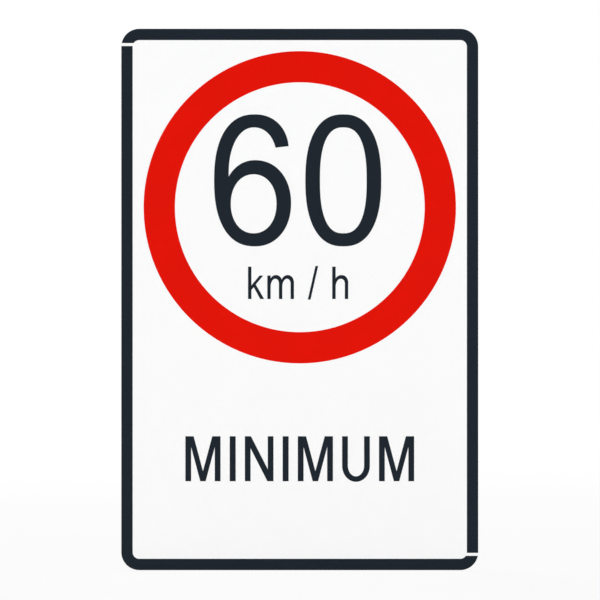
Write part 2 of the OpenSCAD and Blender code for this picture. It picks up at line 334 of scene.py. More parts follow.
class HandlingMarks(EffectGroup):
    """Short fine scratches in two directions and a thin haze, from stacking and carrying."""

    title = "handling_marks"
    sockets_in = {"Vector": SocketKind.VECTOR, "Length": SocketKind.NUMBER, "Amount": SocketKind.NUMBER}
    sockets_out = {"Scratches": SocketKind.NUMBER, "Haze": SocketKind.NUMBER}
    directions = (math.radians(24), math.radians(-38))
    slimness = 70.0
    peak = 0.8
    peak_drop = 0.16
    fade = 0.09
    haze_size = 160 * MM
    haze_from = 0.4
    haze_to = 0.75

    @classmethod
    def wire(cls, bench: NodeBench, given: Sockets) -> dict[str, object]:
        """Cuts the peaks off two stretched noises for the scratches, and adds a soft haze.

        Args:
            bench: the group's own tree.
            given: the group's inputs: the point, a scratch's length in metres, and the amount.

        Returns:
            Scratches and Haze, both from 0 to 1.
        """
        width = bench.math("DIVIDE", given["Length"], cls.slimness)
        level = bench.math("SUBTRACT", cls.peak, bench.math("MULTIPLY", given["Amount"], cls.peak_drop))
        scratches = []
        for turn in cls.directions:
            inputs = {"Vector": given["Vector"], "Rotation": (0.0, turn, 0.0)}
            turned = bench.output_of("ShaderNodeMapping", inputs)
            scaled = bench.stretched(turned, given["Length"], width)
            over = bench.math("SUBTRACT", bench.noise(scaled, scale=1.0, detail=1.0), level)
            scratches.append(bench.remap(over, 0.0, cls.fade, 0.0, 1.0))
        haze = bench.noise(given["Vector"], 1.0 / cls.haze_size, detail=4.0)
        return {
            "Scratches": bench.math("MAXIMUM", *scratches),
            "Haze": bench.remap(haze, cls.haze_from, cls.haze_to, 0.0, 1.0),
        }


class EdgeBand(EffectGroup):
    """The rim of an upright panel with round corners, by the distance in from its edge."""

    title = "edge_band"
    sockets_in = {
        "Vector": SocketKind.VECTOR, "Half Size": SocketKind.VECTOR,
        "Corner Radius": SocketKind.NUMBER, "Width": SocketKind.NUMBER,
    }
    sockets_out = {"Cut": SocketKind.NUMBER, "Rubbed": SocketKind.NUMBER}
    cut_from = 0.25 * MM
    cut_to = 0.5 * MM
    rub_size = 12 * MM
    rub_least = 0.1

    @classmethod
    def wire(cls, bench: NodeBench, given: Sockets) -> dict[str, object]:
        """Measures how far in from the panel's outline a point lies, and breaks the band up.

        Args:
            bench: the group's own tree.
            given: the group's inputs: the point, half the panel's size, its corners' radius,
                and the greatest width of the rubbed band.

        Returns:
            Cut, which is 1 on the cut edge itself, and Rubbed, which fades inwards unevenly.
        """
        radius = given["Corner Radius"]
        folded = bench.output_of("ShaderNodeVectorMath", {0: given["Vector"]}, operation="ABSOLUTE")
        inputs = {0: folded, 1: given["Half Size"]}
        from_side = bench.output_of("ShaderNodeVectorMath", inputs, operation="SUBTRACT")
        over = bench.add("ShaderNodeSeparateXYZ", {0: from_side}).outputs
        past_bend = [bench.math("ADD", over[axis], radius) for axis in ("X", "Z")]
        beyond = [bench.math("MAXIMUM", side, 0.0) for side in past_bend]
        squares = [bench.math("MULTIPLY", side, side) for side in beyond]
        inset = bench.math("SUBTRACT", radius, bench.math("SQRT", bench.math("ADD", *squares)))
        rub = bench.full_noise(given["Vector"], 1.0 / cls.rub_size, detail=1.0, least=cls.rub_least)
        share = bench.math("DIVIDE", inset, bench.math("MULTIPLY", given["Width"], rub))
        return {
            "Cut": bench.remap(inset, cls.cut_from, cls.cut_to, 1.0, 0.0),
            "Rubbed": bench.remap(share, 0.0, 1.0, 1.0, 0.0),
        }


class FilmColour(Enum):
    """The colours of cut film on the face, as light reflected from 0 to 1."""

    BLACK = (0.0105, 0.0162, 0.0242)
    RED = (0.735, 0.0046, 0.0)


class GrainRun(Enum):
    """The way a metal piece's grain runs, as the turn that brings it to X."""

    ALONG_X = (0.0, 0.0, 0.0)
    ALONG_Z = (0.0, math.radians(90), 0.0)


@dataclass(frozen=True)
class Finish:
    """Base of the finishes. Each one makes a material around a Principled shader."""

    name: str

    def material(self) -> bpy.types.Material:
        """Builds the material at its first use, and gives the same one after that.

        Returns:
            The material.
        """
        found = bpy.data.materials.get(self.name)
        if found is not None:
            return found
        material = bpy.data.materials.new(self.name)
        material.use_nodes = True
        material.node_tree.nodes.clear()
        bench = NodeBench(material.node_tree)
        place = bench.add("ShaderNodeTexCoord").outputs["Object"]
        shader = bench.add("ShaderNodeBsdfPrincipled")
        self.wire(bench, place, shader.inputs)
        bench.add("ShaderNodeOutputMaterial", {"Surface": shader.outputs["BSDF"]})
        return material

    def wire(self, bench: NodeBench, place: Socket, surface: Sockets) -> None:
        """Sets the shader's own sockets and joins what changes over the surface."""
        raise NotImplementedError


LATTICE_PITCH = 4.4 * MM
SEAM_SHARE = 0.07


@dataclass(frozen=True)
class ReflectiveSheeting(Finish):
    """White prismatic sheeting under a clear glossy skin."""

    name: str = "white_reflective_sheeting"
    cell: Colour = (0.935, 0.937, 0.935)
    cell_dim: Colour = (0.92, 0.923, 0.922)
    seam: Colour = (0.875, 0.88, 0.883)
    pitch: float = LATTICE_PITCH
    seam_share: float = SEAM_SHARE
    smooth: float = 0.36
    rough: float = 0.44
    gloss_level: float = 0.1
    bump_size: float = 1.6 * MM
    bump_depth: float = 0.006 * MM
    sway_size: float = 300 * MM
    sway_depth: float = 0.25 * MM

    def wire(self, bench: NodeBench, place: Socket, surface: Sockets) -> None:
        """Lays the lattice into the white and lets the gloss follow the panel's slight sway.

        Args:
            bench: the material's own tree.
            place: the point on the piece.
            surface: the inputs of its shader.
        """
        cells = {"Vector": place, "Pitch": self.pitch, "Seam": self.seam_share}
        lattice = bench.effect(PrismLattice, cells)
        skin = bench.effect(SkinTexture, {"Vector": place, "Size": self.bump_size})
        tone = bench.math("MULTIPLY", bench.math("ADD", lattice["Cells"], skin["Mottle"]), 0.5)
        white = bench.blend(tone, self.cell, self.cell_dim)
        bench.feed(surface["Base Color"], bench.blend(lattice["Seams"], white, self.seam))
        bench.feed(surface["Roughness"], bench.remap(skin["Mottle"], 0.0, 1.0, self.smooth, self.rough))
        surface["Specular IOR Level"].default_value = self.gloss_level
        sway = bench.bump(bench.noise(place, 1.0 / self.sway_size, detail=1.0), self.sway_depth)
        bench.feed(surface["Normal"], bench.bump(skin["Height"], self.bump_depth, sway))


@dataclass(frozen=True)
class CutFilm(Finish):
    """Coloured film, cut on a plotter and rolled down on the sheeting."""

    name: str = "cut_film"
    colour: FilmColour = FilmColour.BLACK
    fade: float = 0.05
    lattice_share: float = 0.0
    pitch: float = LATTICE_PITCH
    seam_share: float = SEAM_SHARE
    mark_length: float = 30 * MM
    mark_amount: float = 0.2
    smooth: float = 0.36
    rough: float = 0.44
    gloss_level: float = 0.05
    bump_size: float = 1.2 * MM
    bump_depth: float = 0.007 * MM

    def wire(self, bench: NodeBench, place: Socket, surface: Sockets) -> None:
        """Varies the colour a little and lets the sheeting's lattice print through.

        Args:
            bench: the material's own tree.
            place: the point on the piece.
            surface: the inputs of its shader.
        """
        skin = bench.effect(SkinTexture, {"Vector": place, "Size": self.bump_size})
        wear = {"Vector": place, "Length": self.mark_length, "Amount": self.mark_amount}
        marks = bench.effect(HandlingMarks, wear)
        cells = {"Vector": place, "Pitch": self.pitch, "Seam": self.seam_share}
        lattice = bench.effect(PrismLattice, cells)
        full = self.colour.value
        dim = tuple(channel * (1.0 - self.fade) for channel in full)
        seam_tone = bench.math("MULTIPLY", lattice["Seams"], self.lattice_share)
        tone = bench.blend(skin["Mottle"], full, dim)
        bench.feed(surface["Base Color"], bench.blend(seam_tone, tone, dim))
        bench.feed(surface["Roughness"], bench.remap(marks["Haze"], 0.0, 1.0, self.smooth, self.rough))
        surface["Specular IOR Level"].default_value = self.gloss_level
        print_through = bench.bump(lattice["Seams"], self.bump_depth)
        bench.feed(surface["Normal"], bench.bump(skin["Height"], self.bump_depth, print_through))


@dataclass(frozen=True)
class MillAluminium(Finish):
    """Bare aluminium with its grain and some handling marks."""

    name: str = "mill_aluminium"
    run: GrainRun = GrainRun.ALONG_Z
    bright: Colour = (0.50, 0.51, 0.52)
    dull: Colour = (0.42, 0.43, 0.445)
    hazed: Colour = (0.40, 0.415, 0.43)
    scratched: Colour = (0.66, 0.67, 0.68)
    grain_length: float = 90 * MM
    grain_width: float = 0.7 * MM
    grain_depth: float = 0.012 * MM
    smooth: float = 0.33
    rough: float = 0.46
    mark_length: float = 50 * MM
    mark_amount: float = 0.4
    mark_share: float = 0.3
    haze_share: float = 0.5

    def wire(self, bench: NodeBench, place: Socket, surface: Sockets) -> None:
        """Draws the grain in colour, roughness and relief, with haze and scratches over it.

        Args:
            bench: the material's own tree.
            place: the point on the piece.
            surface: the inputs of its shader.
        """
        turned = bench.output_of("ShaderNodeMapping", {"Vector": place, "Rotation": self.run.value})
        streaks = {"Vector": turned, "Length": self.grain_length, "Width": self.grain_width}
        grain = bench.effect(DrawnGrain, streaks)
        wear = {"Vector": place, "Length": self.mark_length, "Amount": self.mark_amount}
        marks = bench.effect(HandlingMarks, wear)
        tone = bench.math("MULTIPLY", bench.math("ADD", grain["Streaks"], grain["Bands"]), 0.5)
        metal = bench.blend(tone, self.bright, self.dull)
        hazed = bench.math("MULTIPLY", marks["Haze"], self.haze_share)
        metal = bench.blend(hazed, metal, self.hazed)
        scratched = bench.math("MULTIPLY", marks["Scratches"], self.mark_share)
        metal = bench.blend(scratched, metal, self.scratched)
        unevenness = bench.math("MULTIPLY", bench.math("ADD", tone, marks["Haze"]), 0.5)
        rough = bench.remap(unevenness, 0.0, 1.0, self.smooth, self.rough)
        for name, value in zip(("Base Color", "Roughness"), self.trim(bench, place, metal, rough)):
            bench.feed(surface[name], value)
        surface["Metallic"].default_value = 1.0
        grooves = bench.bump(grain["Streaks"], self.grain_depth)
        bench.feed(surface["Normal"], bench.bump(marks["Scratches"], -self.grain_depth, grooves))

    def trim(self, bench: NodeBench, place: Socket, metal: Socket, rough: Socket) -> tuple[Socket, Socket]:
        """Gives the metal's colour and roughness as they are. A cut piece changes them at its edges."""
        return metal, rough


@dataclass(frozen=True)
class CutPlate(MillAluminium):
    """Aluminium sheet cut to an upright panel, dull on the cut edge and rubbed bright beside it. The cut
    edge's dark colour is partly duller sheared metal and partly painted shade, so that the edge stands out
    against the white ground.
    """

    name: str = "mill_finish_plate"
    node: str = "sign_plate"
    corner_radius: float = 30 * MM
    band: float = 2.5 * MM
    # cut: the colour of a dull sheared edge, darkened further as painted shade so that the edge shows
    # against the white ground
    cut: Colour = (0.33, 0.335, 0.345)
    rubbed: Colour = (0.62, 0.625, 0.63)
    rub_share: float = 0.6
    cut_rough: float = 0.72

    def trim(self, bench: NodeBench, place: Socket, metal: Socket, rough: Socket) -> tuple[Socket, Socket]:
        """Makes the plate's cut edge dull and dark, the dark partly painted shade, and brightens the
        rubbed rim beside it.

        Args:
            bench: the material's own tree.
            place: the point on the plate.
            metal: the colour of the plate's faces.
            rough: their roughness.

        Returns:
            The colour and the roughness of the whole plate.
        """
        low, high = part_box(self.node)
        rim = bench.effect(EdgeBand, {
            "Vector": place, "Half Size": (high - low) / 2,
            "Corner Radius": self.corner_radius, "Width": self.band,
        })
        faces = bench.blend(bench.math("MULTIPLY", rim["Rubbed"], self.rub_share), metal, self.rubbed)
        inputs = {0: rim["Cut"], 2: rough, 3: self.cut_rough}
        dullness = bench.output_of("ShaderNodeMix", inputs, data_type="FLOAT")
        # the cut edge takes the darker colour: partly duller metal, partly painted shade
        return bench.blend(rim["Cut"], faces, self.cut), dullness


@dataclass(frozen=True)
class MouldedPlastic(Finish):
    """Matt black plastic with the fine texture of its mould."""

    name: str = "moulded_black_plastic"
    base: Colour = (0.017, 0.018, 0.020)
    rubbed: Colour = (0.045, 0.046, 0.048)
    grain_size: float = 0.35 * MM
    grain_depth: float = 0.02 * MM
    mottle_share: float = 0.25
    mark_length: float = 12 * MM
    mark_amount: float = 0.5
    mark_share: float = 0.6
    smooth: float = 0.5
    rough: float = 0.62
    gloss_level: float = 0.4

    def wire(self, bench: NodeBench, place: Socket, surface: Sockets) -> None:
        """Gives the mould's grain, and paler rubbed marks.

        Args:
            bench: the material's own tree.
            place: the point on the piece.
            surface: the inputs of its shader.
        """
        skin = bench.effect(SkinTexture, {"Vector": place, "Size": self.grain_size})
        wear = {"Vector": place, "Length": self.mark_length, "Amount": self.mark_amount}
        marks = bench.effect(HandlingMarks, wear)
        tone = bench.math("MULTIPLY", skin["Mottle"], self.mottle_share)
        rubbed = bench.math("MAXIMUM", tone, bench.math("MULTIPLY", marks["Scratches"], self.mark_share))
        bench.feed(surface["Base Color"], bench.blend(rubbed, self.base, self.rubbed))
        bench.feed(surface["Roughness"], bench.remap(skin["Mottle"], 0.0, 1.0, self.smooth, self.rough))
        surface["Specular IOR Level"].default_value = self.gloss_level
        bench.feed(surface["Normal"], bench.bump(skin["Height"], self.grain_depth))


WHITE_SHEETING = ReflectiveSheeting()
BLACK_FILM = CutFilm("black_cut_film", FilmColour.BLACK)
RED_FILM = CutFilm("red_cut_film", FilmColour.RED, lattice_share=0.5)
PLATE_METAL = CutPlate()
RAIL_METAL = MillAluminium(
    "extruded_rail", GrainRun.ALONG_X, bright=(0.55, 0.555, 0.56), dull=(0.47, 0.48, 0.49),
    grain_length=400 * MM, grain_width=0.5 * MM, smooth=0.34, rough=0.46, mark_amount=0.3)
RIVET_METAL = MillAluminium(
    "rivet_aluminium", GrainRun.ALONG_X, bright=(0.60, 0.60, 0.60), dull=(0.47, 0.48, 0.49),
    grain_length=2 * MM, grain_width=0.8 * MM, grain_depth=0.02 * MM, mark_amount=0.3)
MANDREL_METAL = MillAluminium(
    "plated_steel_mandrel", GrainRun.ALONG_X, bright=(0.38, 0.38, 0.37), dull=(0.26, 0.26, 0.27),
    hazed=(0.22, 0.21, 0.20), grain_length=1.5 * MM, grain_width=0.6 * MM, smooth=0.25, rough=0.4)
CAP_PLASTIC = MouldedPlastic()


def dress(node: str, finish: Finish) -> Piece:
    """Puts a finish on every material slot of a CAD node.

    Args:
        node: the CAD node's name.
        finish: the finish that it gets.

    Returns:
        The node's object.
    """
    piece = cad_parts[node]
    if not piece.data.materials:
        piece.data.materials.append(None)
    for slot in piece.material_slots:
        slot.material = finish.material()
    return piece


class ShapeTree:
    """Base of the Geometry Nodes trees. Each one makes a shape from named sizes."""

    title = ""
    sizes: dict[str, SocketKind] = {}

    def __init__(self) -> None:
        """Builds the tree, from its named inputs to the material on the finished mesh."""
        self.tree = bpy.data.node_groups.new(self.title, "GeometryNodeTree")
        bench = NodeBench(self.tree)
        inputs = {"Seed": SocketKind.SHAPE, **self.sizes, "Material": SocketKind.MATERIAL}
        bench.declare("INPUT", inputs)
        bench.declare("OUTPUT", {"Shape": SocketKind.SHAPE})
        given = bench.add("NodeGroupInput").outputs
        shape = self.wire(bench, given)
        real = bench.output_of("GeometryNodeRealizeInstances", {"Geometry": shape})
        inputs = {"Geometry": real, "Material": given["Material"]}
        bench.add("NodeGroupOutput", {0: bench.output_of("GeometryNodeSetMaterial", inputs)})

    def wire(self, bench: NodeBench, given: Sockets) -> Socket:
        """Adds the shape's own nodes and gives its geometry."""
        raise NotImplementedError

    def grow(self, name: str, finish: Finish, values: dict[str, object],
             seed: bpy.types.Mesh | None = None) -> Piece:
        """Runs the tree and keeps its result as a plain mesh.

        Args:
            name: the new piece's name.
            finish: the finish that its material comes from.
            values: the tree's sizes, by name.
            seed: the mesh that the tree starts from, where it needs one.

        Returns:
            The piece, at the origin and with no modifier.
        """
        piece = bpy.data.objects.new(name, seed or bpy.data.meshes.new(name))
        bpy.context.scene.collection.objects.link(piece)
        modifier = piece.modifiers.new("shape", "NODES")
        modifier.node_group = self.tree
        given = {**values, "Material": finish.material()}
        for socket in self.tree.interface.items_tree:
            if socket.in_out == "INPUT" and socket.name in given:
                modifier[socket.identifier] = given[socket.name]
        graph = bpy.context.evaluated_depsgraph_get()
        grown = bpy.data.meshes.new_from_object(piece.evaluated_get(graph))
        piece.modifiers.remove(modifier)
        piece.data = grown
        grown.name = name
        grown.shade_flat()
        return piece


class FilmCutter(ShapeTree):
    """Cuts outlines, drawn in X and Y, out of film and lays the film upright on the face."""

    title = "film_cutter"
    sizes = {"Thickness": SocketKind.NUMBER, "Back": SocketKind.NUMBER}
    weld = 0.001 * MM

    def wire(self, bench: NodeBench, given: Sockets) -> Socket:
        """Fills the outlines, gives the fill its thickness and stands it up.

        Args:
            bench: the tree's own bench.
            given: the tree's inputs: the outlines as closed edges, the film's thickness,
                and the place of the film's back along Y.

        Returns:
            The films as closed shells.
        """
        curves = bench.output_of("GeometryNodeMeshToCurve", {"Mesh": given["Seed"]})
        flat = bench.output_of("GeometryNodeFillCurve", {"Curve": curves})
        inputs = {"Mesh": flat, "Offset Scale": given["Thickness"], "Individual": False}
        raised = bench.output_of("GeometryNodeExtrudeMesh", inputs)
        underside = bench.output_of("GeometryNodeFlipFaces", {"Mesh": flat})
        both = bench.add("GeometryNodeJoinGeometry")
        for part in (raised, underside):
            bench.feed(both.inputs[0], part)
        inputs = {"Geometry": both.outputs[0], "Distance": self.weld}
        shell = bench.output_of("GeometryNodeMergeByDistance", inputs)
        place = bench.output_of("ShaderNodeCombineXYZ", {1: given["Back"]})
        inputs = {"Geometry": shell, "Translation": place, "Rotation": UPRIGHT}
        return bench.output_of("GeometryNodeTransform", inputs)


class RingRoller(ShapeTree):
    """Sweeps a thin rectangle round a circle, for a flat ring of film."""

    title = "ring_roller"
    sizes = {
        "Outer Radius": SocketKind.NUMBER, "Inner Radius": SocketKind.NUMBER,
        "Thickness": SocketKind.NUMBER, "Steps": SocketKind.COUNT, "Centre": SocketKind.VECTOR,
    }

    def wire(self, bench: NodeBench, given: Sockets) -> Socket:
        """Sweeps the band's section round the middle of the band and stands the ring up.

        Args:
            bench: the tree's own bench.
            given: the tree's inputs: the band's two radii, the film's thickness, the
                number of steps round the ring, and the middle of the film.

        Returns:
            The ring as a closed shell.
        """
        radii = (given["Outer Radius"], given["Inner Radius"])
        middle = bench.math("MULTIPLY", bench.math("ADD", *radii), 0.5)
        inputs = {"Resolution": given["Steps"], "Radius": middle}
        circle = bench.add("GeometryNodeCurvePrimitiveCircle", inputs)
        inputs = {"Width": bench.math("SUBTRACT", *radii), "Height": given["Thickness"]}
        section = bench.add("GeometryNodeCurvePrimitiveQuadrilateral", inputs, mode="RECTANGLE")
        inputs = {"Curve": circle.outputs[0], "Profile Curve": section.outputs[0]}
        band = bench.output_of("GeometryNodeCurveToMesh", inputs)
        inputs = {"Geometry": band, "Translation": given["Centre"], "Rotation": UPRIGHT}
        return bench.output_of("GeometryNodeTransform", inputs)


class StudSetter(ShapeTree):
    """Sets a domed stud at each point of an upright grid, standing out towards +Y."""

    title = "stud_setter"
    sizes = {
        "Length": SocketKind.NUMBER, "Height": SocketKind.NUMBER, "Columns": SocketKind.COUNT,
        "Radius": SocketKind.NUMBER, "Rise": SocketKind.NUMBER, "Centre": SocketKind.VECTOR,
    }
    rows = 2
    sides = 20
    rings = 12

    def wire(self, bench: NodeBench, given: Sockets) -> Socket:
        """Places one flattened ball at each grid point and stands the grid up.

        Args:
            bench: the tree's own bench.
            given: the tree's inputs: the grid's length and height, its columns, a stud's
                radius and rise, and the grid's middle.

        Returns:
            The studs as instances.
        """
        inputs = {
            "Size X": given["Length"], "Size Y": given["Height"],
            "Vertices X": given["Columns"], "Vertices Y": self.rows,
        }
        grid = bench.output_of("GeometryNodeMeshGrid", inputs)
        inputs = {"Segments": self.sides, "Rings": self.rings, "Radius": given["Radius"]}
        ball = bench.output_of("GeometryNodeMeshUVSphere", inputs)
        flatness = bench.math("DIVIDE", given["Rise"], given["Radius"])
        squash = bench.output_of("ShaderNodeCombineXYZ", {0: 1.0, 1: 1.0, 2: flatness})
        inputs = {"Points": grid, "Instance": ball, "Scale": squash}
        studs = bench.output_of("GeometryNodeInstanceOnPoints", inputs)
        inputs = {"Geometry": studs, "Translation": given["Centre"], "Rotation": UPRIGHT}
        return bench.output_of("GeometryNodeTransform", inputs)


def finish_new_piece(piece: Piece) -> Piece:
    """Lets a new piece ride on the sign."""
    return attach(piece, BODY)


def arc(centre: Point, reach: Point, start: float, end: float, steps: int = 16) -> Outline:
    """Gives points along the edge of an upright ellipse.

    Args:
        centre: the ellipse's middle.
        reach: its half width and half height.
        start: the first point's angle, in degrees, anticlockwise from the right.
        end: the last point's angle.
        steps: how many straight steps the arc has.

    Returns:
        The points, both ends included.
    """
    angles = [math.radians(start + (end - start) * i / steps) for i in range(steps + 1)]
    return [(centre[0] + reach[0] * math.cos(a), centre[1] + reach[1] * math.sin(a)) for a in angles]


CAPITAL_HEIGHT = 75.6
ASCENDER = 54.5
X_HEIGHT = 39.5


@dataclass(frozen=True)
class Glyph:
    """Base of the letters. Each one is drawn in millimetres from its left foot."""

    width: float

    def outline(self) -> Outline:
        """Gives the letter's edge, anticlockwise."""
        raise NotImplementedError


@dataclass(frozen=True)
class CapitalI(Glyph):
    """A plain upright stroke."""

    width: float = 10.0
    height: float = CAPITAL_HEIGHT

    def outline(self) -> Outline:
        """Gives the stroke's four corners."""
        return [(0.0, 0.0), (self.width, 0.0), (self.width, self.height), (0.0, self.height)]


@dataclass(frozen=True)
class CapitalM(Glyph):
    """An M whose slanting strokes meet in a flat foot on the baseline."""

    width: float = 59.0
    height: float = CAPITAL_HEIGHT
    stem: float = 9.6
    head: float = 13.8
    foot: float = 9.0

    def outline(self) -> Outline:
        """Works the slanting strokes out from the width of each head and of the foot.

        Returns:
            The letter's edge, anticlockwise.
        """
        middle = self.width / 2
        slant = (middle + self.foot / 2 - self.head) / self.height
        crotch = self.height - (middle - self.head) / slant
        shoulder = (middle - self.foot / 2 - self.stem) / slant
        left = [
            (0.0, self.height), (0.0, 0.0), (self.stem, 0.0), (self.stem, shoulder),
            (middle - self.foot / 2, 0.0),
        ]
        right = [(self.width - x, z) for x, z in reversed(left)]
        top = [(self.width - self.head, self.height), (middle, crotch), (self.head, self.height)]
        return left + right + top


@dataclass(frozen=True)
class CapitalN(Glyph):
    """An N with a slanting stroke as heavy as its stems."""

    width: float = 48.0
    height: float = CAPITAL_HEIGHT
    stem: float = 9.5
    head: float = 10.2
    slant: float = 0.51

    def outline(self) -> Outline:
        """Draws the left half and turns it half round for the right one.

        Returns:
            The letter's edge, anticlockwise.
        """
        shoulder = (self.width - self.head - self.stem) / self.slant
        half = [
            (0.0, self.height), (0.0, 0.0), (self.stem, 0.0), (self.stem, shoulder),
            (self.width - self.head, 0.0),
        ]
        return half + [(self.width - x, self.height - z) for x, z in half]


@dataclass(frozen=True)
class CapitalU(Glyph):
    """A U with an oval bowl."""

    width: float = 46.5
    height: float = CAPITAL_HEIGHT
    stem: float = 9.6
    bowl: float = 26.0
    dip: float = 1.0
    floor: float = 9.2
    steps: int = 32

    def outline(self) -> Outline:
        """Draws the bowl's outer and inner arcs between the two stems.

        Returns:
            The letter's edge, anticlockwise.
        """
        middle = self.width / 2
        inner = (middle - self.stem, self.bowl - self.floor + self.dip)
        outer_arc = arc((middle, self.bowl), (middle, self.bowl + self.dip), 180, 360, self.steps)
        inner_arc = arc((middle, self.bowl), inner, 0, -180, self.steps)
        return [
            (0.0, self.height), *outer_arc, (self.width, self.height),
            (self.width - self.stem, self.height), *inner_arc, (self.stem, self.height),
        ]


@dataclass(frozen=True)
class Arch:
    """One arch of an h or an m, in millimetres, between a stem and the arch's own leg."""

    start: Point
    stem_right: float
    leg_left: float
    stroke: float = 5.6
    top: float = 40.4
    inner_top: float = 34.1
    spring: float = 20.9
    inner_shoulder: float = 26.0
    outer_shoulder: float = 28.0
    peak_share: float = 0.66
    inner_peak_share: float = 0.575

    @property
    def peak(self) -> float:
        """Gives the place of the arch's highest outer point."""
        return self.stem_right + self.peak_share * (self.leg_left - self.stem_right)

    @property
    def outer_reach(self) -> Point:
        """Gives the half width and rise of the arch's outer right side."""
        return (self.leg_left + self.stroke - self.peak, self.top - self.outer_shoulder)

    def inside(self) -> Outline:
        """Gives the inner edge, from the stem over to the leg.

        Returns:
            The points, clockwise.
        """
        peak = self.stem_right + self.inner_peak_share * (self.leg_left - self.stem_right)
        left = arc((peak, self.spring), (peak - self.stem_right, self.inner_top - self.spring), 180, 90)
        reach = (self.leg_left - peak, self.inner_top - self.inner_shoulder)
        return left + arc((peak, self.inner_shoulder), reach, 90, 0)[1:]

    def height_at(self, x: float) -> float:
        """Gives the height of the outer right side at a place right of the peak."""
        reach = self.outer_reach
        return self.outer_shoulder + reach[1] * math.sqrt(1 - ((x - self.peak) / reach[0]) ** 2)

    def outside(self, from_x: float | None = None) -> Outline:
        """Gives the outer edge, from the leg back over to the arch's start.

        Args:
            from_x: where the edge starts, if that is left of the leg's outer side.

        Returns:
            The points, anticlockwise.
        """
        centre = (self.peak, self.outer_shoulder)
        reach = self.outer_reach
        start_x = centre[0] + reach[0] if from_x is None else from_x
        first = math.degrees(math.acos((start_x - centre[0]) / reach[0]))
        rise = (self.start[1] - centre[1]) / reach[1]
        left_reach = (self.peak - self.start[0]) / math.sqrt(1 - rise**2)
        right = arc(centre, reach, first, 90)
        return right + arc(centre, (left_reach, reach[1]), 90, 180 - math.degrees(math.asin(rise)))[1:]


@dataclass(frozen=True)
class SmallH(Glyph):
    """An h: a tall stem and one arch."""

    width: float = 26.8
    ascender: float = ASCENDER
    stem: float = 5.7
    notch: float = 34.9

    def outline(self) -> Outline:
        """Draws the stem, the arch's inside, its leg and its outside.

        Returns:
            The letter's edge, anticlockwise.
        """
        arch = Arch((self.stem, self.notch), self.stem, self.width - Arch.stroke)
        return [
            (0.0, 0.0), (self.stem, 0.0), *arch.inside(), (arch.leg_left, 0.0), (self.width, 0.0),
            *arch.outside(), (self.stem, self.ascender), (0.0, self.ascender),
        ]


@dataclass(frozen=True)
class SmallM(Glyph):
    """An m: a short stem and two arches."""

    width: float = 44.7
    x_height: float = X_HEIGHT
    stem: float = 5.5
    notch: float = 34.7
    middle_left: float = 19.5
    middle_right: float = 25.1
    nick: float = 0.8

    def outline(self) -> Outline:
        """Draws both arches, which meet in a nick over the middle leg.

        Returns:
            The letter's edge, anticlockwise.
        """
        first = Arch((self.stem, self.notch), self.stem, self.middle_left)
        nick_x = self.middle_right - self.nick
        second = Arch((nick_x, first.height_at(nick_x)), self.middle_right, self.width - first.stroke)
        return [
            (0.0, 0.0), (self.stem, 0.0), *first.inside(), (self.middle_left, 0.0),
            (self.middle_right, 0.0), *second.inside(), (second.leg_left, 0.0), (self.width, 0.0),
            *second.outside(), *first.outside(nick_x)[1:],
            (self.stem, self.x_height), (0.0, self.x_height),
        ]


@dataclass(frozen=True)
class SmallK(Glyph):
    """A k whose arm runs into its stem, with a leg that stands off the arm."""

    width: float = 27.0
    ascender: float = ASCENDER
    x_height: float = X_HEIGHT
    stem: float = 5.6
    arm_low: float = 15.5
    arm_high: float = 23.0
    arm_tip_left: float = 19.3
    arm_tip_right: float = 25.4
    crotch: Point = (12.9, 24.5)
    knee: Point = (9.6, 19.9)
    foot_left: float = 20.4

    def outline(self) -> Outline:
        """Draws the stem's foot, the leg, the arm and the stem's top.

        Returns:
            The letter's edge, anticlockwise.
        """
        return [
            (0.0, 0.0), (self.stem, 0.0), (self.stem, self.arm_low), self.knee,
            (self.foot_left, 0.0), (self.width, 0.0), self.crotch,
            (self.arm_tip_right, self.x_height), (self.arm_tip_left, self.x_height),
            (self.stem, self.arm_high), (self.stem, self.ascender), (0.0, self.ascender),
        ]


@dataclass(frozen=True)
class Slash(Glyph):
    """A slanting stroke a little taller than the letters beside it."""

    width: float = 17.3
    stroke: float = 4.5
    low: float = -1.0
    high: float = 55.6

    def outline(self) -> Outline:
        """Gives the stroke's four corners.

        Returns:
            The letter's edge, anticlockwise.
        """
        return [
            (0.0, self.low), (self.stroke, self.low), (self.width, self.high),
            (self.width - self.stroke, self.high),
        ]


class SubAssembly:
    """Base of the sign's sub-assemblies. Each one dresses or makes its own pieces."""

    def build(self) -> list[Piece]:
        """Makes the sub-assembly and gives its pieces."""
        raise NotImplementedError


@dataclass
class SignPanel(SubAssembly):
    """The aluminium plate and the white sheeting that faces it."""

    plate: str = "sign_plate"
    sheeting: str = "white_sheeting"

    def build(self) -> list[Piece]:
        """Dresses the plate and the sheeting."""
        return [dress(self.plate, PLATE_METAL), dress(self.sheeting, WHITE_SHEETING)]


@dataclass
class Border(SubAssembly):
    """The black border, in two strips with a narrow break at each end."""

    strips: Sequence[str] = ("border_strip_upper", "border_strip_lower")

    def build(self) -> list[Piece]:
        """Dresses both strips."""
        return [dress(strip, BLACK_FILM) for strip in self.strips]


@dataclass
class SpeedRing(SubAssembly):
    """The red ring, swept anew so that it is truly round at any distance."""

    node: str = "red_ring"
    steps: int = 360

    def radii(self) -> tuple[float, float]:
        """Measures the ring on its CAD node.

        Returns:
            The outer and the inner radius.
        """
        low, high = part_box(self.node)
        centre = (low + high) / 2
        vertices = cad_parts[self.node].data.vertices
        inner = min(math.hypot(v.co.x - centre.x, v.co.z - centre.z) for v in vertices)
        return (high.x - low.x) / 2, inner

    def build(self) -> list[Piece]:
        """Sweeps the ring in the CAD node's own place.

        Returns:
            The ring, alone in a list.
        """
        low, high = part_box(self.node)
        outer, inner = self.radii()
        piece = RingRoller().grow("speed_ring", RED_FILM, {
            "Outer Radius": outer, "Inner Radius": inner, "Thickness": high.y - low.y,
            "Steps": self.steps, "Centre": (low + high) / 2,
        })
        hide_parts(self.node)
        return [finish_new_piece(piece)]


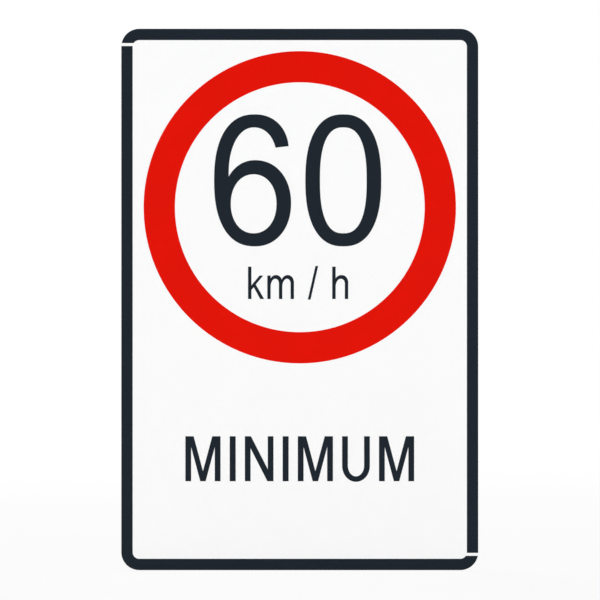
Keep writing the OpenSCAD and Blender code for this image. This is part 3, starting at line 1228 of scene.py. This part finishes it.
@dataclass
class Digits(SubAssembly):
    """The speed, as two digits of black film."""

    nodes: Sequence[str] = ("digit_six", "digit_zero")

    def build(self) -> list[Piece]:
        """Dresses both digits."""
        return [dress(digit, BLACK_FILM) for digit in self.nodes]


@dataclass
class LetterLine(SubAssembly):
    """A line of letters, each cut from black film and laid on the sheeting."""

    cutter: FilmCutter = field(repr=False)
    name: str
    glyphs: Sequence[Glyph]
    gaps: Sequence[float]
    drop_to_baseline: float

    def start(self) -> Point:
        """Gives the place of the first letter's left foot."""
        raise NotImplementedError

    def outlines(self) -> list[Outline]:
        """Sets the letters side by side.

        Returns:
            Each letter's outline in metres, at its place in the line.
        """
        left, baseline = self.start()
        placed = []
        for glyph, gap in zip(self.glyphs, [*self.gaps, 0.0]):
            placed.append([(left + x * MM, baseline + z * MM) for x, z in glyph.outline()])
            left += (glyph.width + gap) * MM
        return placed

    def seed(self) -> bpy.types.Mesh:
        """Draws the outlines as closed rows of edges in X and Y.

        Returns:
            The mesh that the film cutter starts from.
        """
        points, edges = [], []
        for outline in self.outlines():
            first = len(points)
            points += [(x, y, 0.0) for x, y in outline]
            edges += [(first + i, first + (i + 1) % len(outline)) for i in range(len(outline))]
        mesh = bpy.data.meshes.new(self.name)
        mesh.from_pydata(points, edges, [])
        return mesh

    def build(self) -> list[Piece]:
        """Cuts the whole line out of film as thick as the digits'.

        Returns:
            The line as one piece, alone in a list.
        """
        front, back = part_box("digit_zero")
        sizes = {"Thickness": back.y - front.y, "Back": back.y}
        piece = self.cutter.grow(self.name, BLACK_FILM, sizes, self.seed())
        return [finish_new_piece(piece)]


@dataclass
class UnitLine(LetterLine):
    """The unit, which stands under the digits."""

    name: str = "unit_lettering"
    glyphs: Sequence[Glyph] = (SmallK(), SmallM(), Slash(), SmallH())
    gaps: Sequence[float] = (5.4, 23.4, 23.7)
    drop_to_baseline: float = 88.5 * MM
    left: float = -86.9 * MM

    def start(self) -> Point:
        """Measures down from the digits' lower edge."""
        return self.left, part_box("digit_zero")[0].z - self.drop_to_baseline


@dataclass
class WordLine(LetterLine):
    """The word, centred in the lower part of the face."""

    name: str = "word_lettering"
    glyphs: Sequence[Glyph] = (
        CapitalM(), CapitalI(), CapitalN(), CapitalI(), CapitalM(), CapitalU(), CapitalM(),
    )
    gaps: Sequence[float] = (15.5,) * 6
    drop_to_baseline: float = 198.1 * MM

    def start(self) -> Point:
        """Measures down from the ring's lower edge, and half the word's length to the left."""
        length = (sum(glyph.width for glyph in self.glyphs) + sum(self.gaps)) * MM
        return -length / 2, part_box("red_ring")[0].z - self.drop_to_baseline


@dataclass
class RearRail(SubAssembly):
    """One rail across the back, with its rivets and the plugs in its two ends."""

    name: str
    setter: StudSetter = field(repr=False)
    rivets_along: int = 5
    head_radius: float = 4.75 * MM
    mandrel_radius: float = 1.75 * MM
    mandrel_rise: float = 0.95 * MM

    def mandrels(self) -> Piece:
        """Sets the broken mandrel's round head in the blind end of each rivet.

        Returns:
            All the rail's mandrels as one piece.
        """
        low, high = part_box(f"{self.name}_rivets")
        centre = (low + high) / 2
        centre.y = high.y
        head_width = 2 * self.head_radius
        piece = self.setter.grow(f"{self.name}_mandrels", MANDREL_METAL, {
            "Length": high.x - low.x - head_width, "Height": high.z - low.z - head_width,
            "Columns": self.rivets_along, "Radius": self.mandrel_radius, "Rise": self.mandrel_rise,
            "Centre": centre,
        })
        piece.data.shade_smooth()
        return finish_new_piece(piece)

    def build(self) -> list[Piece]:
        """Dresses the rail, its rivets and its caps, and adds the mandrels.

        Returns:
            The rail, its rivets, its two caps and the mandrels.
        """
        pieces = [dress(self.name, RAIL_METAL), dress(f"{self.name}_rivets", RIVET_METAL)]
        pieces += [dress(f"{self.name}_cap_{side}", CAP_PLASTIC) for side in ("left", "right")]
        return [*pieces, self.mandrels()]


@dataclass(frozen=True)
class SoftLamp:
    """A large rectangular lamp, turned to the middle of the sign."""

    name: str
    place: Place
    power: float
    width: float
    height: float

    def hang(self) -> None:
        """Adds the lamp to the scene, out of the camera's sight."""
        lamp = bpy.data.lights.new(self.name, "AREA")
        lamp.shape = "RECTANGLE"
        lamp.size = self.width
        lamp.size_y = self.height
        lamp.energy = self.power
        holder = bpy.data.objects.new(self.name, lamp)
        holder.location = self.place
        holder.rotation_euler = (-Vector(self.place)).to_track_quat("-Z", "Y").to_euler()
        holder.visible_camera = False
        bpy.context.scene.collection.objects.link(holder)


@dataclass
class Studio:
    """A pale floor, soft lamps on both sides of the sign, and the camera in front."""

    sign_width_px: float = 356.92
    picture_px: float = 600.0
    sign_centre_px: Point = (299.764, 299.451)
    lens: float = 200.0
    sensor: float = 36.0
    floor_half: float = 20.0
    floor_colour: Colour = (0.86, 0.86, 0.86)
    floor_catch: Colour = (0.2, 0.2, 0.2)
    floor_glow_near: float = 0.82
    floor_glow_far: float = 0.90
    glow_from: float = 1.5
    glow_to: float = 7.0
    sky_level: float = 0.55
    lamps: Sequence[SoftLamp] = (
        SoftLamp("front_left_lamp", (-3.9, -4.2, 0.0), 104.9, width=4.4, height=0.85),
        SoftLamp("front_right_lamp", (3.9, -4.2, 0.0), 110.9, width=4.4, height=0.85),
        SoftLamp("rear_high_lamp", (-3.4, 3.8, 2.8), 85.0, width=6.0, height=4.6),
        SoftLamp("rear_low_lamp", (4.2, 3.4, 1.4), 45.0, width=5.0, height=3.6),
    )

    @staticmethod
    def seen_directly(bench: NodeBench) -> Socket:
        """Tells the rays that see a white ground from those that only carry light.

        Args:
            bench: the tree of the floor's material or of the world.

        Returns:
            1 for a ray from the camera, off a glossy surface or through glass, and else 0.
        """
        rays = bench.add("ShaderNodeLightPath").outputs
        mirrored = bench.math("MAXIMUM", rays["Is Glossy Ray"], rays["Is Transmission Ray"])
        return bench.math("MAXIMUM", rays["Is Camera Ray"], mirrored)

    def build_world(self) -> None:
        """Makes the surroundings white to the eye and a plain soft light otherwise."""
        world = bpy.data.worlds.new("studio_world")
        world.use_nodes = True
        world.node_tree.nodes.clear()
        bench = NodeBench(world.node_tree)
        level = bench.math("MAXIMUM", self.seen_directly(bench), self.sky_level)
        light = bench.add("ShaderNodeBackground", {"Color": as_rgba((1.0, 1.0, 1.0)), "Strength": level})
        bench.add("ShaderNodeOutputWorld", {"Surface": light.outputs[0]})
        bpy.context.scene.world = world

    def floor_material(self) -> bpy.types.Material:
        """Makes a floor that looks white, keeps a soft shadow and is open from below.

        Returns:
            The floor's material.
        """
        material = bpy.data.materials.new("studio_floor")
        material.use_nodes = True
        material.cycles.emission_sampling = "NONE"
        material.node_tree.nodes.clear()
        bench = NodeBench(material.node_tree)
        plain = bench.output_of("ShaderNodeBsdfDiffuse", {"Color": as_rgba(self.floor_colour)})
        place = bench.add("ShaderNodeTexCoord").outputs["Object"]
        away = bench.add("ShaderNodeVectorMath", {0: place}, operation="LENGTH").outputs["Value"]
        level = bench.remap(away, self.glow_from, self.glow_to, self.floor_glow_near, self.floor_glow_far)
        glow = bench.output_of("ShaderNodeEmission", {"Strength": level})
        catch = bench.output_of("ShaderNodeBsdfDiffuse", {"Color": as_rgba(self.floor_catch)})
        white = bench.output_of("ShaderNodeAddShader", {0: glow, 1: catch})
        inputs = {0: self.seen_directly(bench), 1: plain, 2: white}
        above = bench.output_of("ShaderNodeMixShader", inputs)
        clear = bench.output_of("ShaderNodeBsdfTransparent")
        from_below = bench.add("ShaderNodeNewGeometry").outputs["Backfacing"]
        surface = bench.output_of("ShaderNodeMixShader", {0: from_below, 1: above, 2: clear})
        bench.add("ShaderNodeOutputMaterial", {"Surface": surface})
        return material

    def build_floor(self) -> None:
        """Lays the floor under the sign's lower edge."""
        half = self.floor_half
        level = CAD_BOX[0].z
        mesh = bpy.data.meshes.new("studio_floor")
        turns = ((-1, -1), (1, -1), (1, 1), (-1, 1))
        corners = [(x * half, y * half, level) for x, y in turns]
        mesh.from_pydata(corners, [], [(0, 1, 2, 3)])
        mesh.materials.append(self.floor_material())
        floor = bpy.data.objects.new("studio_floor", mesh)
        bpy.context.scene.collection.objects.link(floor)

    def build_camera(self) -> None:
        """Stands the camera square in front, where the sign fills as much of the picture."""
        low, high = CAD_BOX
        scale = (high.x - low.x) / self.sign_width_px
        middle = self.picture_px / 2
        camera = bpy.data.cameras.new("picture_camera")
        camera.lens = self.lens
        camera.sensor_width = self.sensor
        distance = scale * self.picture_px * self.lens / self.sensor
        holder = bpy.data.objects.new(camera.name, camera)
        holder.location = (
            (low.x + high.x) / 2 + (middle - self.sign_centre_px[0]) * scale,
            low.y - distance,
            (low.z + high.z) / 2 + (self.sign_centre_px[1] - middle) * scale,
        )
        holder.rotation_euler = UPRIGHT
        bpy.context.scene.collection.objects.link(holder)
        bpy.context.scene.camera = holder

    def build(self) -> None:
        """Sets up the whole studio."""
        bpy.context.scene.view_settings.view_transform = "Standard"
        self.build_world()
        self.build_floor()
        for lamp in self.lamps:
            lamp.hang()
        self.build_camera()


def main() -> None:
    """Builds each part of the sign in order and reports its pieces, then sets up the studio."""
    logging.basicConfig(level=logging.INFO, format="%(name)s: %(message)s")
    cutter = FilmCutter()
    setter = StudSetter()
    parts = [
        SignPanel(), Border(), SpeedRing(), Digits(), UnitLine(cutter), WordLine(cutter),
        RearRail("upper_rail", setter), RearRail("lower_rail", setter),
    ]
    for part in parts:
        for piece in part.build():
            LOG.info("%s has %d faces", piece.name, len(piece.data.polygons))
    Studio().build()


if __name__ == "__main__":
    main()
